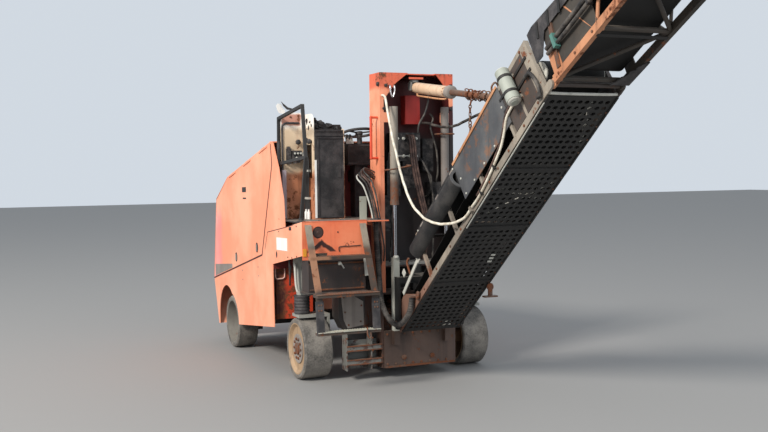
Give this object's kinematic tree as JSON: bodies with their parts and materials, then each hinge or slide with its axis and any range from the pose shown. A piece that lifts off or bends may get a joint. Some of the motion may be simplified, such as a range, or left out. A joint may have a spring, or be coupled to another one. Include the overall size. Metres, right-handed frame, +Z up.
{
  "type": "cold planer milling machine",
  "caption": "compact cold planer for asphalt on four solid wheels, with lifting rear legs, milling drum, scraper, hood doors and a slewing, luffing, folding loading conveyor",
  "frame": {"origin": "on the ground, at the middle of the whole machine's bounding box in X and Y, with the conveyor as it stands", "axes": "+X is the machine's right, +Y points to its nose, +Z is up; the conveyor reaches to the rear, towards -Y"},
  "size_m": [2.206, 8.489, 4.3143],
  "materials": {
    "orange_paint": "weathered orange paint",
    "red_paint": "dull dark red paint",
    "grey_paint": "dusty grey paint",
    "cream_paint": "rust-streaked cream paint",
    "black_paint": "dusty black paint",
    "rusty_steel": "rusty worn steel",
    "beige_paint": "faded beige paint with rust",
    "belt_rubber": "dusty black rubber",
    "tyre_rubber": "dusty solid rubber",
    "black_foam": "torn black foam",
    "pale_sheath": "dusty pale sheath",
    "bare_steel": "worn bare steel"
  },
  "bodies": {
    "chassis": {"main_frame": "black_paint", "left_flank": "orange_paint", "right_flank": "orange_paint", "nose": "orange_paint", "hood_roof": "orange_paint", "bulkhead": "red_paint", "engine": "grey_paint", "side_tank": "red_paint", "deck": "orange_paint", "step_box": "rusty_steel", "ladder": "grey_paint", "cabinet": "cream_paint", "cabinet_door": "black_paint", "cabinet_foam": "black_foam", "guard_hoop": "black_paint", "console": "black_paint", "steering_wheel": "black_paint", "mast": "orange_paint", "king_post": "grey_paint", "hoist_barrels": "grey_paint", "drum_housing": "grey_paint", "drive_casing": "grey_paint", "leg_sleeves": "grey_paint", "front_axle": "black_paint", "tow_lugs": "black_paint", "tail_hose": "belt_rubber", "pale_cable": "pale_sheath", "sag_hose": "belt_rubber"},
    "left_door": {"left_door": "orange_paint"},
    "right_door": {"right_door": "orange_paint"},
    "steer_left": {"left_knuckle": "grey_paint"},
    "steer_right": {"right_knuckle": "grey_paint"},
    "wheel_front_left": {"tyre_front_left": "tyre_rubber", "rim_front_left": "grey_paint"},
    "wheel_front_right": {"tyre_front_right": "tyre_rubber", "rim_front_right": "grey_paint"},
    "leg_left": {"left_leg": "grey_paint"},
    "leg_right": {"right_leg": "grey_paint"},
    "wheel_rear_left": {"tyre_rear_left": "tyre_rubber", "rim_rear_left": "beige_paint"},
    "wheel_rear_right": {"tyre_rear_right": "tyre_rubber", "rim_rear_right": "beige_paint"},
    "drum": {"milling_drum": "rusty_steel"},
    "scraper": {"scraper": "rusty_steel"},
    "slewing_yoke": {"slew_yoke": "grey_paint"},
    "conveyor_lower": {"lower_frame": "beige_paint", "lower_belt": "belt_rubber", "lower_rollers": "bare_steel", "underguard": "grey_paint", "belt_cover": "grey_paint"},
    "conveyor_upper": {"upper_frame": "beige_paint", "upper_belt": "belt_rubber", "upper_rollers": "bare_steel"},
    "stay_swivel": {"stay_swivel": "grey_paint"},
    "luff_barrel": {"luff_barrel": "cream_paint"},
    "luff_rod": {"luff_rod": "rusty_steel"}
  },
  "joints": [
    {"name": "left_door_hinge", "type": "hinge", "parent": "chassis", "child": "left_door", "pos_m": [-1.0945, 1.63452, 2.4057], "axis": [0, 0.9802, -0.1982], "range_deg": [0, 80]},
    {"name": "right_door_hinge", "type": "hinge", "parent": "chassis", "child": "right_door", "pos_m": [0.7295, 1.63452, 2.4057], "axis": [0, -0.9802, 0.1982], "range_deg": [0, 80]},
    {"name": "steering_left", "type": "hinge", "parent": "chassis", "child": "steer_left", "pos_m": [-0.8125, 3.39452, 0.31], "axis": [0, 0, 1], "range_deg": [-30, 30]},
    {"name": "steering_right", "type": "hinge", "parent": "chassis", "child": "steer_right", "pos_m": [0.4475, 3.39452, 0.31], "axis": [0, 0, 1], "range_deg": [-30, 30]},
    {"name": "front_left_wheel", "type": "hinge", "parent": "steer_left", "child": "wheel_front_left", "pos_m": [-0.9625, 3.39452, 0.31], "axis": [1, 0, 0], "continuous": true},
    {"name": "front_right_wheel", "type": "hinge", "parent": "steer_right", "child": "wheel_front_right", "pos_m": [0.5975, 3.39452, 0.31], "axis": [1, 0, 0], "continuous": true},
    {"name": "left_leg_lift", "type": "slide", "parent": "chassis", "child": "leg_left", "axis": [0, 0, 1], "range_m": [0, 0.2]},
    {"name": "right_leg_lift", "type": "slide", "parent": "chassis", "child": "leg_right", "axis": [0, 0, 1], "range_m": [0, 0.2]},
    {"name": "rear_left_wheel", "type": "hinge", "parent": "leg_left", "child": "wheel_rear_left", "pos_m": [-0.8275, 1.24452, 0.31], "axis": [1, 0, 0], "continuous": true},
    {"name": "rear_right_wheel", "type": "hinge", "parent": "leg_right", "child": "wheel_rear_right", "pos_m": [0.9425, 1.24452, 0.31], "axis": [1, 0, 0], "continuous": true},
    {"name": "drum_spin", "type": "hinge", "parent": "chassis", "child": "drum", "pos_m": [0.2275, 1.26452, 0.44], "axis": [1, 0, 0], "continuous": true},
    {"name": "scraper_hoist", "type": "slide", "parent": "chassis", "child": "scraper", "axis": [0, 0, 1], "range_m": [0, 0.22]},
    {"name": "conveyor_slew", "type": "hinge", "parent": "chassis", "child": "slewing_yoke", "pos_m": [0.2275, 0.91452, 1], "axis": [0, 0, 1], "range_deg": [-18, 18], "deforming": ["tail_hose", "pale_cable", "sag_hose"]},
    {"name": "conveyor_luff", "type": "hinge", "parent": "slewing_yoke", "child": "conveyor_lower", "pos_m": [0.2275, 0.59452, 0.6], "axis": [-1, 0, 0], "range_deg": [-10, 6]},
    {"name": "conveyor_fold", "type": "hinge", "parent": "conveyor_lower", "child": "conveyor_upper", "pos_m": [0.2275, -2.15724, 2.73218], "axis": [1, 0, 0], "range_deg": [-8, 85]},
    {"name": "stay_slew", "type": "hinge", "parent": "chassis", "child": "stay_swivel", "pos_m": [0.2275, 0.91452, 2.96], "axis": [0, 0, 1], "range_deg": [-18, 18]},
    {"name": "stay_tilt", "type": "hinge", "parent": "stay_swivel", "child": "luff_barrel", "pos_m": [0.2275, 0.91452, 2.96], "axis": [-1, 0, 0], "range_deg": [-7, 4.5]},
    {"name": "stay_extend", "type": "slide", "parent": "luff_barrel", "child": "luff_rod", "axis": [0, -0.9913, -0.1315], "range_m": [-0.25, 0.41]}
  ],
  "couplings": [
    {"joint": "steering_right", "follows": "steering_left", "ratio": 1},
    {"joint": "stay_slew", "follows": "conveyor_slew", "ratio": 1},
    {"joint": "stay_tilt", "follows": "conveyor_luff", "ratio": 0.6249},
    {"joint": "stay_extend", "follows": "conveyor_luff", "m_per_rad": -2.2766}
  ]
}
